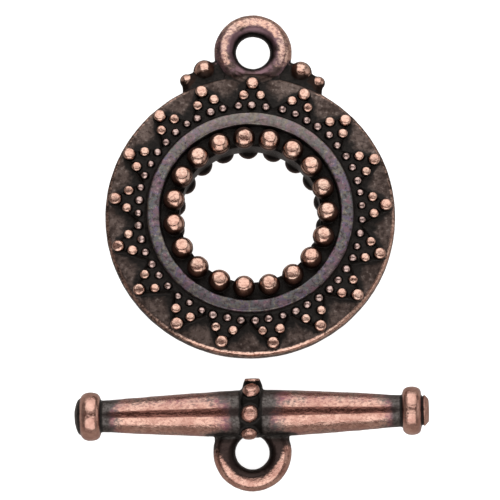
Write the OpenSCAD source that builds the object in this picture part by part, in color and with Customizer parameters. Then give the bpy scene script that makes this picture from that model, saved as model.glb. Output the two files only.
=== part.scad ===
// Toggle clasp: a round cast ring with a loop on its rim, and a bar with a loop at its middle.
// Both lie on a surface at z = 0. X runs along the bar, +Y from the bar to the ring, +Z up.
// All lengths are millimetres.

/* [Ring disc] */
// Outer radius of the ring
ring_r = 10; // [9:0.25:13]
// Thickness of the disc at its rim
rim_t = 1.2; // [0.9:0.05:1.6]
// Bevel on each edge of the rim
rim_bevel = 0.3; // [0.1:0.05:0.4]
// Extra height of each face of the disc beside the raised band
disc_crown = 0.08; // [0:0.02:0.3]
// Radius of the wall inside the hole
hole_r = 4.85; // [4:0.05:5.4]

/* [Bead rows in the hole] */
// Radius of one large bead
bead_r = 0.755; // [0.6:0.005:0.85]
// Smallest gap between neighbouring beads
bead_gap = 0.2; // [0.1:0.02:0.5]
// How far the bead centres lie outside the hole's wall
bead_seat = 0.47; // [0.3:0.01:0.6]
// Height of the bead centres above the ring's middle plane
bead_z = 1.38; // [1.1:0.02:1.6]
// Height of the groove's floor above the middle plane
groove_z = 0.85; // [0.6:0.05:1]
// Angle of the front row's first bead from the ring loop
front_phase = 5.7; // [0:0.1:19]
// Angle of the back row's first bead from the ring loop
back_phase = 2.4; // [0:0.1:19]

/* [Raised band] */
// Gap between the beads and the band
band_gap = 0.125; // [0.05:0.005:0.3]
// Width of the band
band_w = 0.86; // [0.5:0.02:1.1]
// Height of the band's top above the middle plane
band_z = 1.5; // [1.2:0.02:1.8]
// Bevel on the band's edges
band_bevel = 0.18; // [0.05:0.01:0.24]

/* [Star and granules] */
// Number of star points
star_points = 17; // [12:1:20]
// Height of the star's face above the middle plane
star_z = 0.95; // [0.8:0.01:1.1]
// Distance of the star's valleys from the band
valley_out = 0.74; // [0.55:0.01:0.9]
// Distance of the star's tips from the ring's edge
tip_in = 0.15; // [0.05:0.01:0.4]
// Radius of the granule at each tip
tip_granule_r = 0.43; // [0.3:0.01:0.5]
// Distance of the tip granules' centres from the ring's edge
tip_granule_in = 0.65; // [0.5:0.01:0.9]
// Radius of the two granules behind each tip
pair_granule_r = 0.32; // [0.22:0.01:0.36]
// Distance of the pairs' centres from the band
pair_out = 1.37; // [1.2:0.01:1.5]
// Distance between the centres of a pair
pair_w = 1.16; // [0.9:0.02:1.3]
// Radius of the granules in the row beside the band
row_granule_r = 0.26; // [0.18:0.01:0.3]
// Distance of that row's centres from the band
row_out = 0.51; // [0.4:0.01:0.6]

/* [Loops] */
// Radius of the hole through each loop
loop_bore_r = 1.2; // [0.9:0.05:1.4]
// Radius of the loops' round section
loop_wire_r = 0.76; // [0.6:0.02:0.9]
// Depth of the straight land inside each loop
loop_land = 0.03; // [0.02:0.005:0.08]
// How far the ring loop's section sinks into the disc
bail_sink = 0.16; // [0.05:0.01:0.5]
// Thickness of the web that carries the ring loop
bail_web_t = 1.44; // [1.25:0.02:1.5]
// Half width of that web
bail_web_half = 1.95; // [1.7:0.05:2.2]
// How far the bar loop's section sinks into the bar
bar_loop_sink = 0.83; // [0.5:0.01:1]
// Thickness of the web between the bar and its loop
bar_web_t = 1.1; // [0.8:0.05:1.3]
// Half width of that web
bar_web_half = 2.5; // [2.2:0.05:2.6]
// Radius kept clear of the collar's beads, for the ring or wire that passes the bar loop
loop_pass_r = 1; // [0.8:0.05:1.1]

/* [Granules beside the ring loop] */
// Radius of the larger granule on each side
side_big_r = 0.8; // [0.6:0.02:0.9]
// Angle of the larger granule from the ring loop
side_big_turn = 17.7; // [16.5:0.1:19]
// Distance of the larger granule's centre outside the ring's edge
side_big_out = 0.9; // [0.6:0.05:1]
// Radius of the smaller granule on each side
side_small_r = 0.48; // [0.4:0.02:0.6]
// Angle of the smaller granule from the ring loop
side_small_turn = 25.2; // [24:0.1:27]
// Distance of the smaller granule's centre outside the ring's edge
side_small_out = 0.6; // [0.4:0.05:0.8]
// How far the shoulder under these granules stands out of the rim
shoulder_out = 0.4; // [0.2:0.05:0.6]
// Thickness of that shoulder
shoulder_t = 1; // [0.7:0.05:1.15]
// Width of the fillet between the ring loop and the larger granule
side_big_fillet = 1.1; // [0.6:0.05:1.2]
// Width of the fillets on both sides of the smaller granule
side_small_fillet = 0.6; // [0.4:0.05:0.8]

/* [Bar] */
// Overall length of the bar
bar_l = 24.35; // [22:0.25:28]
// Radius of the bar beside its collar
bar_mid_r = 1.57; // [1.4:0.01:1.65]
// Radius of the bar half way to its ends
bar_belly_r = 1.37; // [1.25:0.01:1.45]
// Radius of the bar's necks
bar_neck_r = 1.1; // [0.9:0.01:1.2]
// Length of each straight neck
bar_neck_l = 0.6; // [0.3:0.05:1]

/* [Bar ends] */
// Outer radius of the end rings
knob_r = 1.68; // [1.4:0.01:1.9]
// Width of the end rings
knob_w = 1.3; // [1:0.02:1.5]
// Radius of the groove outside each end ring
cap_groove_r = 0.98; // [0.7:0.01:1.05]
// Width of that groove
cap_groove_w = 0.16; // [0.08:0.02:0.3]
// Radius of the end discs
cap_r = 1.1; // [1:0.01:1.3]
// Radius of the end discs' flat faces
cap_face_r = 0.75; // [0.5:0.01:0.95]
// Thickness of the end discs
cap_t = 0.36; // [0.2:0.02:0.5]

/* [Bar collar] */
// Width of the collar
collar_w = 1.4; // [1:0.05:1.8]
// How far the collar is cast off the bar's axis, away from the loop
collar_off = 0.1; // [0:0.01:0.12]
// Radius of the collar
collar_r = 1.78; // [1.7:0.01:1.85]
// Bevel on the collar's edges
collar_bevel = 0.15; // [0.05:0.01:0.25]
// Number of beads round the collar
collar_beads = 6; // [4:2:6]
// Radius of one collar bead
collar_bead_r = 0.6; // [0.45:0.01:0.66]
// Radius of the circle of collar bead centres
collar_bead_circle = 1.74; // [1.6:0.01:1.85]
// Place along the bar of the upper face's collar beads
collar_upper_x = -0.08; // [-0.4:0.01:0.4]
// Place along the bar of the lower face's collar beads
collar_lower_x = 0.32; // [-0.4:0.01:0.4]
// Distance of the ground-off casting stub's face from the bar's axis
stub_out = 2.37; // [2.2:0.01:2.6]
// Radius of the stub's face
stub_face_r = 0.5; // [0.4:0.01:0.6]
// Radius of the stub at the bar's axis
stub_root_r = 0.98; // [0.8:0.01:1]

/* [How the two pieces lie] */
// Gap between the ring and the stub on the collar
set_gap = 1.6; // [0.8:0.01:4]
// Turn of the ring on the surface, counterclockwise
ring_turn = -0.9; // [-5:0.1:5]
// Turn of the bar on the surface, counterclockwise
bar_turn = 0.4; // [-5:0.05:5]
// How far the bar's middle lies to the right of the ring's centre
bar_shift = 0.09; // [-1:0.01:1]

/* [Hidden] */
$fn = 40;
overlap = 0.3;

// Ring: radii from the hole outwards
bead_circle_r = hole_r + bead_seat;
bead_count = floor(180 / asin((bead_r + bead_gap / 2) / bead_circle_r));
band_in_r = bead_circle_r + bead_r + band_gap;
band_out_r = band_in_r + band_w;
disc_z = rim_t / 2 + disc_crown;
ring_half_t = max(bead_z + bead_r, band_z);

// Loops: both have the same section and hole
loop_r = loop_bore_r + loop_wire_r - loop_land;
loop_out_r = loop_r + loop_wire_r;
bail_y = ring_r - bail_sink + loop_r;
bar_loop_y = bar_mid_r - bar_loop_sink + loop_r;

// Bar: places along its axis, from the end inwards
cap_x = bar_l / 2 - cap_t;
knob_x = cap_x - cap_groove_w - knob_w / 2;
neck_x = knob_x - knob_w / 2 - bar_neck_l;
knob_tube_r = knob_w / 2;
knob_ring_r = knob_r - knob_tube_r;

// The bar rolls until its loop's tip touches the surface, and rests on its collar or, if larger, its end rings
tip_reach = bar_loop_y + loop_r;
tip_from_collar = tip_reach + collar_off;
roll_on_collar = asin((collar_bead_r - loop_wire_r) / norm([tip_from_collar, collar_bead_circle]))
    + atan(collar_bead_circle / tip_from_collar);
roll_on_knobs = asin((knob_r - loop_wire_r) / tip_reach);
bar_roll = max(roll_on_collar, roll_on_knobs);
bar_z = loop_wire_r + tip_reach * sin(bar_roll);
// One end ring then drops to the surface
bar_pitch = asin((bar_z - knob_tube_r) / norm([knob_x, knob_ring_r])) - atan(knob_ring_r / knob_x);

// Layout: the pair's box is centred on the origin
bar_to_ring = ring_r + set_gap + stub_out;
box_y_high = bar_to_ring + bail_y * cos(ring_turn) + loop_out_r;
box_y_low = -tip_reach * cos(bar_roll) - loop_wire_r;
bar_reach = bar_l / 2 * cos(bar_pitch) + cap_face_r * sin(bar_pitch);
box_x_high = max(ring_r, bar_shift + bar_reach);
box_x_low = min(-ring_r, bar_shift - bar_reach);
ring_x = -(box_x_high + box_x_low) / 2;
bar_y = -(box_y_high + box_y_low) / 2;

// Copies its children n times round Z, the first one at angle first
module around(n, first = 0) {
    for (i = [0 : n - 1])
        rotate([0, 0, first + i * 360 / n]) children();
}

// Draws its children on the front and, mirrored, on the back of the ring
module both_faces() {
    for (side = [0, 1])
        mirror([0, 0, side]) children();
}

// Round eye at a place on the Y axis, and a web of its own from y_to to the eye, bored through along Z
module eye(y, y_to, web_half, web_t) {
    difference() {
        union() {
            translate([0, y, 0])
                rotate_extrude()
                    translate([loop_r, 0]) circle(r = loop_wire_r);
            linear_extrude(web_t, center = true)
                translate([-web_half, min(y, y_to)])
                    square([2 * web_half, abs(y - y_to)]);
        }
        translate([0, y, 0])
            cylinder(h = 4 * loop_wire_r, r = loop_bore_r, center = true);
    }
}

// Flat strip in the XY plane from point a to point b
module strip(a, b, width, thickness) {
    along = b - a;
    translate(a)
        rotate([0, 0, atan2(along[1], along[0])])
            linear_extrude(thickness, center = true)
                translate([0, -width / 2]) square([norm(along), width]);
}

// Section of the ring's turned body, from the hole's wall to the rim
module ring_section() {
    upper = [
        [hole_r, groove_z],
        [band_in_r, groove_z],
        [band_in_r, band_z - band_bevel],
        [band_in_r + band_bevel, band_z],
        [band_out_r - band_bevel, band_z],
        [band_out_r, band_z - band_bevel],
        [band_out_r, disc_z],
        [ring_r - rim_bevel, rim_t / 2],
        [ring_r, rim_t / 2 - rim_bevel]
    ];
    lower = [for (i = [len(upper) - 1 : -1 : 0]) [upper[i][0], -upper[i][1]]];
    polygon(concat(upper, lower));
}

// Star plate with straight-sided points, as thick as both raised faces
module star() {
    step = 360 / star_points;
    tip_r = ring_r - tip_in;
    valley_r = band_out_r + valley_out;
    outline = [for (i = [0 : star_points - 1], half = [0, 1])
        let (a = 90 + (i + half / 2) * step, r = half == 0 ? tip_r : valley_r)
            [r * cos(a), r * sin(a)]];
    linear_extrude(2 * star_z, center = true)
        difference() {
            polygon(outline);
            circle(r = band_in_r + band_w / 2);
        }
}

// One face's granules: one at each tip, a pair behind it, three in the row beside the band
module granules() {
    pair_r = band_out_r + pair_out;
    translate([0, 0, star_z]) {
        around(star_points, 90)
            translate([ring_r - tip_granule_in, 0, 0]) sphere(r = tip_granule_r);
        around(star_points, 90)
            for (side = [-1, 1])
                translate([pair_r, side * pair_w / 2, 0]) sphere(r = pair_granule_r);
        around(3 * star_points, 90)
            translate([band_out_r + row_out, 0, 0]) sphere(r = row_granule_r);
    }
}

// Front and back rows of large beads round the hole
module bead_rows() {
    around(bead_count, 90 + front_phase)
        translate([bead_circle_r, 0, bead_z]) sphere(r = bead_r);
    around(bead_count, 90 + back_phase)
        translate([bead_circle_r, 0, -bead_z]) sphere(r = bead_r);
}

// Part of the rim that stands out beside the ring loop, under the granules there
module shoulder() {
    shoulder_r = ring_r + shoulder_out;
    corner = [shoulder_r * tan(side_small_turn), shoulder_r];
    linear_extrude(shoulder_t, center = true)
        intersection() {
            difference() {
                circle(r = shoulder_r);
                circle(r = ring_r - rim_bevel - overlap);
            }
            polygon([[0, 0], corner, [-corner[0], corner[1]]]);
        }
}

// The two granules on one side of the ring loop, with the fillets that join them to it and to the rim
module side_granules() {
    big = (ring_r + side_big_out) * [sin(side_big_turn), cos(side_big_turn)];
    small = (ring_r + side_small_out) * [sin(side_small_turn), cos(side_small_turn)];
    loop_centre = [0, bail_y];
    towards_big = (big - loop_centre) / norm(big - loop_centre);
    translate(big) sphere(r = side_big_r);
    translate(small) sphere(r = side_small_r);
    strip(loop_centre + loop_r * towards_big, big, side_big_fillet, shoulder_t);
    strip(big, small, side_small_fillet, shoulder_t);
    strip(small, small * ring_r / norm(small), side_small_fillet, shoulder_t);
}

// The whole ring casting about its own centre, with the loop towards +Y
module ring_casting() {
    rotate_extrude() ring_section();
    star();
    both_faces() granules();
    bead_rows();
    eye(bail_y, ring_r - rim_bevel - overlap, bail_web_half, bail_web_t);
    shoulder();
    for (side = [0, 1])
        mirror([side, 0, 0]) side_granules();
}

// Section of the bar with its end discs, radius against place along its axis
module bar_section() {
    right = [
        [bar_mid_r, collar_w / 2],
        [bar_belly_r, (collar_w / 2 + neck_x) / 2],
        [bar_neck_r, neck_x],
        [bar_neck_r, knob_x],
        [cap_groove_r, knob_x],
        [cap_groove_r, cap_x],
        [cap_r, cap_x],
        [cap_face_r, bar_l / 2],
        [0, bar_l / 2]
    ];
    left = [for (i = [len(right) - 1 : -1 : 0]) [right[i][0], -right[i][1]]];
    polygon(concat(left, right));
}

// Section of the collar, radius against place along its axis
module collar_section() {
    half_w = collar_w / 2;
    polygon([
        [0, -half_w],
        [collar_r - collar_bevel, -half_w],
        [collar_r, collar_bevel - half_w],
        [collar_r, half_w - collar_bevel],
        [collar_r - collar_bevel, half_w],
        [0, half_w]
    ]);
}

// Beads round the collar's axis, none of them in the loop's plane
module collar_bead_row() {
    step = 360 / collar_beads;
    for (i = [0 : collar_beads - 1])
        let (turn = (i + 0.5) * step, x = turn < 180 ? collar_upper_x : collar_lower_x)
            rotate([turn, 0, 0])
                translate([x, collar_bead_circle, 0])
                    rotate([90, 0, 0]) sphere(r = collar_bead_r);
}

// Collar with its beads, which are cut back where they reach over the loop's hole
module collar() {
    translate([0, collar_off, 0])
        rotate([0, 90, 0]) rotate_extrude() collar_section();
    difference() {
        translate([0, collar_off, 0]) collar_bead_row();
        translate([0, -bar_loop_y, 0])
            cylinder(h = 2 * (collar_bead_circle + collar_bead_r), r = loop_pass_r, center = true);
    }
}

// The whole bar casting about its own centre, along X, with the loop towards -Y
module bar_casting() {
    rotate([0, 90, 0]) {
        rotate_extrude() bar_section();
        for (side = [-1, 1])
            translate([0, 0, side * knob_x])
                rotate_extrude() translate([knob_ring_r, 0]) circle(r = knob_tube_r);
    }
    collar();
    rotate([-90, 0, 0]) cylinder(h = stub_out, r1 = stub_root_r, r2 = stub_face_r);
    eye(-bar_loop_y, -bar_mid_r + overlap, bar_web_half, bar_web_t);
}

// Ring casting lying on its back beads
module toggle_ring() {
    color("peru")
        translate([ring_x, bar_y + bar_to_ring, ring_half_t])
            rotate([0, 0, ring_turn]) ring_casting();
}

// Bar casting resting on its collar, one end ring and the tip of its loop
module toggle_bar() {
    color("sienna")
        translate([ring_x + bar_shift, bar_y, bar_z])
            rotate([bar_roll, -bar_pitch, bar_turn]) bar_casting();
}

toggle_ring();
toggle_bar();
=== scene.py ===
import math

import bmesh
import bpy
import numpy as np
from mathutils import Matrix, Vector, kdtree


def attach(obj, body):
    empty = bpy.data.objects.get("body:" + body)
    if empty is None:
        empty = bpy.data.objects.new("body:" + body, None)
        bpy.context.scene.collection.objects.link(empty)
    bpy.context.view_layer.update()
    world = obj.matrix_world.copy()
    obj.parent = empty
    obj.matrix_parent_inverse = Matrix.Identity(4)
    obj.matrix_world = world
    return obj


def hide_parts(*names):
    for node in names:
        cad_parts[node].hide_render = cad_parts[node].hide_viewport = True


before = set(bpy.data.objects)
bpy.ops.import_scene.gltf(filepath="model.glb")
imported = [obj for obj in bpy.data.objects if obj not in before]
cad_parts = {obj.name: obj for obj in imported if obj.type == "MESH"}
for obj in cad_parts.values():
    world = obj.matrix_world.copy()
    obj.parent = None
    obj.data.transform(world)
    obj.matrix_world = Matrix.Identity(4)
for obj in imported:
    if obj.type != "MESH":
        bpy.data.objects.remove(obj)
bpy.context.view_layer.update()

# A cast toggle clasp in antiqued copper: the granulated ring and the bar lie side by side on a pale floor.
# Both castings are shaped in millimetres about their own centres, then laid in the frame in metres.
MM = 0.001
FULL_TURN = 2 * math.pi

# Ring disc
RING_R = 10.0
RIM_HALF = 0.6
RIM_BEVEL = 0.3
DISC_TOP = 0.68
HOLE_R = 4.85
GROOVE_TOP = 0.85

# Large beads in the hole
BEAD_R = 0.77
BEAD_COUNT = 19
BEAD_CIRCLE_R = 5.32
BEAD_HEIGHT = 1.38
FRONT_PHASE = math.radians(90 + 5.7)
BACK_PHASE = math.radians(90 - 2.4)

# Plain band round the beads
BAND_IN_R = 6.23
BAND_OUT_R = 7.13
BAND_TOP = 1.5
BAND_EDGE = 0.12
BAND_FOOT = 0.12

# Star plate and its granules. It came out slightly oval, with its inner granules a little towards the loop.
STAR_POINTS = 17
STAR_TOP = 0.95
VALLEY_R = 7.8
TIP_R = 9.9
STAR_SUNK = 0.1
STAR_SLOPE = 0.16
STAR_STRETCH = (1.004, 0.995, 1.0)
STAR_INNER_Y = 0.06
TIP_GRANULE_R = 0.47
TIP_GRANULE_AT = 9.34
PAIR_GRANULE_R = 0.37
PAIR_GRANULE_AT = 8.5
PAIR_HALF_GAP = 0.6
PAIR_HALF_ANGLE = math.atan2(PAIR_HALF_GAP, PAIR_GRANULE_AT)
ROW_GRANULE_R = 0.31
ROW_GRANULE_AT = 7.7
AT_THE_LOOP = math.radians(90)

# How far each ray stands off its even place, in degrees: in clockwise order from the ring's loop,
# and positive where the ray is turned clockwise.
RAY_TURNS = (-0.1, 1.5, 1.0, 1.0, 0.7, 1.2, 0.3, 0.1, 0.0, 0.5, 0.0, 0.6, 0.6, 0.4, -0.4, -0.3, -0.8)

# Loops on the ring's rim and under the bar. Of what stands above LOOP_FACE, the share LOOP_FACE_WORN is gone.
LOOP_R = 1.93
LOOP_WIRE_R = 0.77
LOOP_FACE = 0.72
LOOP_FACE_WORN = 0.75
BAIL_Y = 11.77
BAIL_WEB_HALF = 1.95
BAIL_WEB_TOP = 0.52
BAIL_WEB_SUNK = 0.9
BAIL_WAIST_IN = 0.1
BAIL_WAIST_DOWN = 1.1
BAR_LOOP_Y = -2.67
BAR_WEB_HALF = 2.5
BAR_WEB_TOP = 0.6
BAR_WEB_SUNK = 0.5
BAR_WEB_SPREAD = 0.1
WEB_FROM_LOOP = LOOP_R - 0.15

# Granules beside the ring's loop
SIDE_BIG_R = 0.8
SIDE_BIG_AT = (10.9, math.radians(17.7))
SIDE_SMALL_R = 0.48
SIDE_SMALL_AT = (10.7, math.radians(25.2))
SHOULDER_TOP = 0.42

# Fillets beside the ring's loop: where the first starts (x, y) and where the last ends (radius, angle),
# then the radius of each at its start, its end and its waist
FILLETS_FROM = (LOOP_R - 0.1, BAIL_Y - 0.75)
FILLETS_TO = (RING_R - 0.3, SIDE_SMALL_AT[1] + 0.03)
LOOP_TO_BIG = (0.5, 0.55, 0.42)
BIG_TO_SMALL = (0.5, 0.38, 0.34)
SMALL_TO_RIM = (0.4, 0.5, 0.36)

# Bar
BAR_HALF = 12.175
BAR_MID_R = 1.67
BAR_NECK_R = 1.1
BAR_NECK_FLARE = 0.02
BAR_SWELL_LEFT = 0.03
BAR_SWELL_RIGHT = 0.06
NECK_X = 9.755
KNOB_X = 11.005
KNOB_R = 1.68
KNOB_HALF = 0.65
KNOB_ROUNDNESS = 0.6
LEFT_KNOB_OUT = 0.1
CAP_GROOVE_R = 0.98
CAP_GROOVE_WIDTH = 0.12
CAP_X = 11.815
CAP_R = 1.14
CAP_FACE_R = 0.75
CAP_BEVEL = 0.12
CAP_EDGE = 0.02

# Collar round the bar's middle. It sits a little off the bar's axis, away from the loop. Its beads aren't
# in line: the upper ones slant along the bar, and those under the bar lie further right. The beads at the
# loop lie closer in and higher, so that its hole stays clear.
COLLAR_HALF = 0.7
COLLAR_R = 1.7
COLLAR_BEVEL = 0.15
COLLAR_BEADS = 6
COLLAR_BEAD_R = 0.62
COLLAR_BEAD_CIRCLE_R = 1.74
COLLAR_WORN_R = 2.2
COLLAR_WORN = 0.85
COLLAR_OFF = 0.14
COLLAR_SLANT = 0.065
COLLAR_UPPER_X = -0.06
COLLAR_LOWER_X = 0.32
COLLAR_FAR_X = 0.1
COLLAR_AT_LOOP_IN = 0.2
COLLAR_AT_LOOP_UP = 0.09
COLLAR_FAR_IN = 0.07
STUB_OUT = 2.42
STUB_X = 0.1
STUB_ROOT_R = 0.98
STUB_SHOULDER_R = 0.68
STUB_SHOULDER_DOWN = 0.45
STUB_FACE_R = 0.5
STUB_BEVEL_DOWN = 0.05
STUB_BEVEL_R = 0.03

# Where the castings lie, in millimetres and degrees
RING_CENTRE = (-0.09, 2.31705, 2.135)
RING_TURN = -0.9
BAR_CENTRE = (0.0, -11.65295, 2.21851)
BAR_ROLL = 18.4857
BAR_PITCH = 2.8113
BAR_TURN = 0.4

# Painted dark reflection along the bar's top, a brown line where the bar mirrors the dark gap between the
# softboxes, in degrees from its upper side
PAINTED_REFLECTION_AT = 9.5
PAINTED_REFLECTION_HALF = 11.0

# Fineness of the turned shapes and of the castings' skin
DISC_STEPS = 256
BAR_STEPS = 128
EYE_STEPS = 128
WIRE_STEPS = 48
COLLAR_STEPS = 96
STUB_STEPS = 24
VOXEL = 0.056
SKIN_TRIANGLES = 190_000
FINE_SMOOTHING = 18
WIDE_SMOOTHING = 150

# Share that is rubbed off a bead above its worn height, and the noise level at which the skin isn't moved
WORN_BEAD_GONE = 0.93
SKIN_LEVEL = 0.6

# How much of a point's relief counts as standing out of the blackening
NEAR_WEIGHT = 2.2
FAR_WEIGHT = 0.9
FAR_WEIGHT_ON_FLATS = 0.2

# Camera, as the photograph was taken: the picture's size, the pixel that shows the frame's origin,
# the scale, and the camera's angle and distance in metres
PICTURE_SIZE = 500
ORIGIN_PIXEL = (251.571, 257.639)
PIXELS_PER_MM = 14.471
CAMERA_ELEVATION = math.radians(75.2)
CAMERA_DISTANCE = 0.7


# Nodes

def add_node(tree, kind, links=None, **settings):
    """Adds a node, sets its properties, then links or sets its inputs by name or number."""
    made = tree.nodes.new(kind)
    for name, value in settings.items():
        setattr(made, name, value)
    for key, value in (links or {}).items():
        socket = made.inputs[key]
        if isinstance(value, bpy.types.NodeSocket):
            tree.links.new(value, socket)
        else:
            socket.default_value = value
    return made


def maths(tree, operation, first, second, third=0.0):
    """One Math node's output."""
    return add_node(tree, "ShaderNodeMath", {0: first, 1: second, 2: third}, operation=operation).outputs[0]


def new_tree(name, sockets, result):
    """A Geometry Nodes tree with named inputs and one geometry output, and the sockets of its inputs."""
    tree = bpy.data.node_groups.new(name, "GeometryNodeTree")
    for label, kind in sockets:
        tree.interface.new_socket(label, in_out="INPUT", socket_type="NodeSocket" + kind)
    tree.interface.new_socket(result, in_out="OUTPUT", socket_type="NodeSocketGeometry")
    return tree, add_node(tree, "NodeGroupInput").outputs


def end_tree(tree, geometry, material, result):
    """Ends a tree in Realize Instances and Set Material."""
    real = add_node(tree, "GeometryNodeRealizeInstances", {"Geometry": geometry})
    coated = add_node(tree, "GeometryNodeSetMaterial", {"Geometry": real.outputs[0], "Material": material})
    add_node(tree, "NodeGroupOutput", {result: coated.outputs[0]})
    return tree


def bead_circle_tree():
    """A circle of round beads: each has its own size, tilt and place, and a worn top that leans outwards."""
    tree, given = new_tree("Bead circle", (
        ("Count", "Int"), ("Circle Radius", "Float"), ("Bead Radius", "Float"), ("Height", "Float"),
        ("First Angle", "Float"), ("Worn Share", "Float"), ("Lean", "Float"), ("Size Spread", "Float"),
        ("Place Spread", "Float"), ("Tilt Spread", "Float"), ("Turned Over", "Float"), ("Seed", "Int"),
        ("Segments", "Int"), ("Material", "Material")), "Beads")
    circle = add_node(tree, "GeometryNodeMeshCircle", {
        "Vertices": given["Count"], "Radius": given["Circle Radius"]})
    lift = add_node(tree, "ShaderNodeCombineXYZ", {"Z": given["Height"]})
    turn = add_node(tree, "ShaderNodeCombineXYZ", {"Z": given["First Angle"]})
    placed = add_node(tree, "GeometryNodeTransform", {
        "Geometry": circle.outputs[0], "Translation": lift.outputs[0], "Rotation": turn.outputs[0]})
    index = add_node(tree, "GeometryNodeInputIndex").outputs[0]

    def spread(amount, seed_step):
        seed = maths(tree, "ADD", given["Seed"], seed_step)
        random = add_node(tree, "FunctionNodeRandomValue", {
            "Min": (-1, -1, -1), "Max": (1, 1, 1), "ID": index, "Seed": seed}, data_type="FLOAT_VECTOR")
        return add_node(tree, "ShaderNodeVectorMath", {0: random.outputs[0], "Scale": amount},
                        operation="SCALE").outputs[0]

    moved = add_node(tree, "GeometryNodeSetPosition", {
        "Geometry": placed.outputs[0], "Offset": spread(given["Place Spread"], 1)})
    ball = add_node(tree, "GeometryNodeMeshUVSphere", {
        "Segments": given["Segments"], "Rings": maths(tree, "DIVIDE", given["Segments"], 2.0),
        "Radius": given["Bead Radius"]})
    place = add_node(tree, "GeometryNodeInputPosition").outputs[0]
    height = add_node(tree, "ShaderNodeSeparateXYZ", {0: place}).outputs[2]
    worn_at = maths(tree, "MULTIPLY", given["Bead Radius"], given["Worn Share"])
    over = maths(tree, "MAXIMUM", maths(tree, "SUBTRACT", height, worn_at), 0.0)
    down = add_node(tree, "ShaderNodeCombineXYZ", {"Z": maths(tree, "MULTIPLY", over, -WORN_BEAD_GONE)})
    worn = add_node(tree, "GeometryNodeSetPosition", {"Geometry": ball.outputs[0], "Offset": down.outputs[0]})
    smallest = maths(tree, "SUBTRACT", 1.0, given["Size Spread"])
    largest = maths(tree, "ADD", 1.0, given["Size Spread"])
    size = add_node(tree, "FunctionNodeRandomValue", {
        2: smallest, 3: largest, "ID": index, "Seed": given["Seed"]}, data_type="FLOAT")
    step = maths(tree, "DIVIDE", FULL_TURN, given["Count"])
    outwards = add_node(tree, "ShaderNodeCombineXYZ", {
        "Y": given["Lean"], "Z": maths(tree, "MULTIPLY_ADD", index, step, given["First Angle"])})
    turned = add_node(tree, "ShaderNodeVectorMath", {
        0: outwards.outputs[0], 1: spread(given["Tilt Spread"], 2)}, operation="ADD")
    beads = add_node(tree, "GeometryNodeInstanceOnPoints", {
        "Points": moved.outputs[0], "Instance": worn.outputs[0],
        "Rotation": turned.outputs[0], "Scale": size.outputs[1]})
    over_turn = add_node(tree, "ShaderNodeCombineXYZ", {"Y": given["Turned Over"]})
    faced = add_node(tree, "GeometryNodeTransform", {
        "Geometry": beads.outputs[0], "Rotation": over_turn.outputs[0]})
    return end_tree(tree, faced.outputs[0], given["Material"], "Beads")


def cast_skin_tree():
    """Small dents and grain of a cast and tumbled surface, pushed along its normals."""
    tree, given = new_tree("Cast skin", (
        ("Casting", "Geometry"), ("Dent Depth", "Float"), ("Dents per mm", "Float"),
        ("Grain Depth", "Float"), ("Grain per mm", "Float"), ("Material", "Material")), "Casting")

    def ripple(per_mm, depth):
        pattern = add_node(tree, "ShaderNodeTexNoise", {"Scale": per_mm, "Detail": 1.0})
        return maths(tree, "MULTIPLY", maths(tree, "SUBTRACT", pattern.outputs[0], SKIN_LEVEL), depth)

    lift = maths(tree, "ADD", ripple(given["Dents per mm"], given["Dent Depth"]),
                 ripple(given["Grain per mm"], given["Grain Depth"]))
    normal = add_node(tree, "GeometryNodeInputNormal").outputs[0]
    offset = add_node(tree, "ShaderNodeVectorMath", {0: normal, "Scale": lift}, operation="SCALE").outputs[0]
    dented = add_node(tree, "GeometryNodeSetPosition", {"Geometry": given["Casting"], "Offset": offset})
    return end_tree(tree, dented.outputs[0], given["Material"], "Casting")


def grow(mesh, tree, **inputs):
    """Runs a tree on a mesh and returns the plain mesh that comes out."""
    carrier = bpy.data.objects.new("carrier", mesh)
    bpy.context.scene.collection.objects.link(carrier)
    modifier = carrier.modifiers.new("grow", "NODES")
    modifier.node_group = tree
    names = {s.name: s.identifier for s in tree.interface.items_tree if s.in_out == "INPUT"}
    for name, value in inputs.items():
        modifier[names[name.replace("_", " ")]] = value
    made = baked(carrier)
    bpy.data.objects.remove(carrier)
    return made


def baked(carrier):
    """The mesh of an object with its modifiers applied."""
    graph = bpy.context.evaluated_depsgraph_get()
    graph.update()
    return bpy.data.meshes.new_from_object(carrier.evaluated_get(graph), depsgraph=graph)


# Plain solids, each a closed mesh of (points, faces)

def lathe(profile, steps, along="Z"):
    """Turns a closed outline of (radius, place) round an axis."""
    outline = np.array(profile, float)
    angle = np.arange(steps) * FULL_TURN / steps
    r, h = outline[:, 0][None, :], outline[:, 1][None, :]
    flat = (r * np.cos(angle)[:, None], r * np.sin(angle)[:, None], np.broadcast_to(h, (steps, r.size)))
    order = (0, 1, 2) if along == "Z" else (2, 0, 1)
    points = np.stack([flat[i] for i in order], -1).reshape(-1, 3)
    n = len(outline)
    starts = [(i * n, (i + 1) % steps * n) for i in range(steps)]
    faces = [(a + j, b + j, b + (j + 1) % n, a + (j + 1) % n) for a, b in starts for j in range(n)]
    return points, faces


def ring_of(rings, closed_ends=True):
    """Joins rings of equally many points, and closes the first and the last."""
    points = np.concatenate(rings)
    n = len(rings[0])
    faces = [(k * n + j, k * n + (j + 1) % n, (k + 1) * n + (j + 1) % n, (k + 1) * n + j)
             for k in range(len(rings) - 1) for j in range(n)]
    if closed_ends:
        faces.append(tuple(range(n))[::-1])
        faces.append(tuple((len(rings) - 1) * n + j for j in range(n)))
    return points, faces


def prism(outline, low, high):
    """Upright prism on an outline in XY that runs counterclockwise."""
    flat = np.array(outline, float)
    return ring_of([np.c_[flat, np.full(len(flat), low)], np.c_[flat, np.full(len(flat), high)]])


def ball(centre, radius, steps=40):
    """Round ball."""
    half = np.linspace(-math.pi / 2, math.pi / 2, steps // 2 + 1)
    points, faces = lathe([(radius * math.cos(a), radius * math.sin(a)) for a in half], steps)
    return points + np.array(centre), faces


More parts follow.
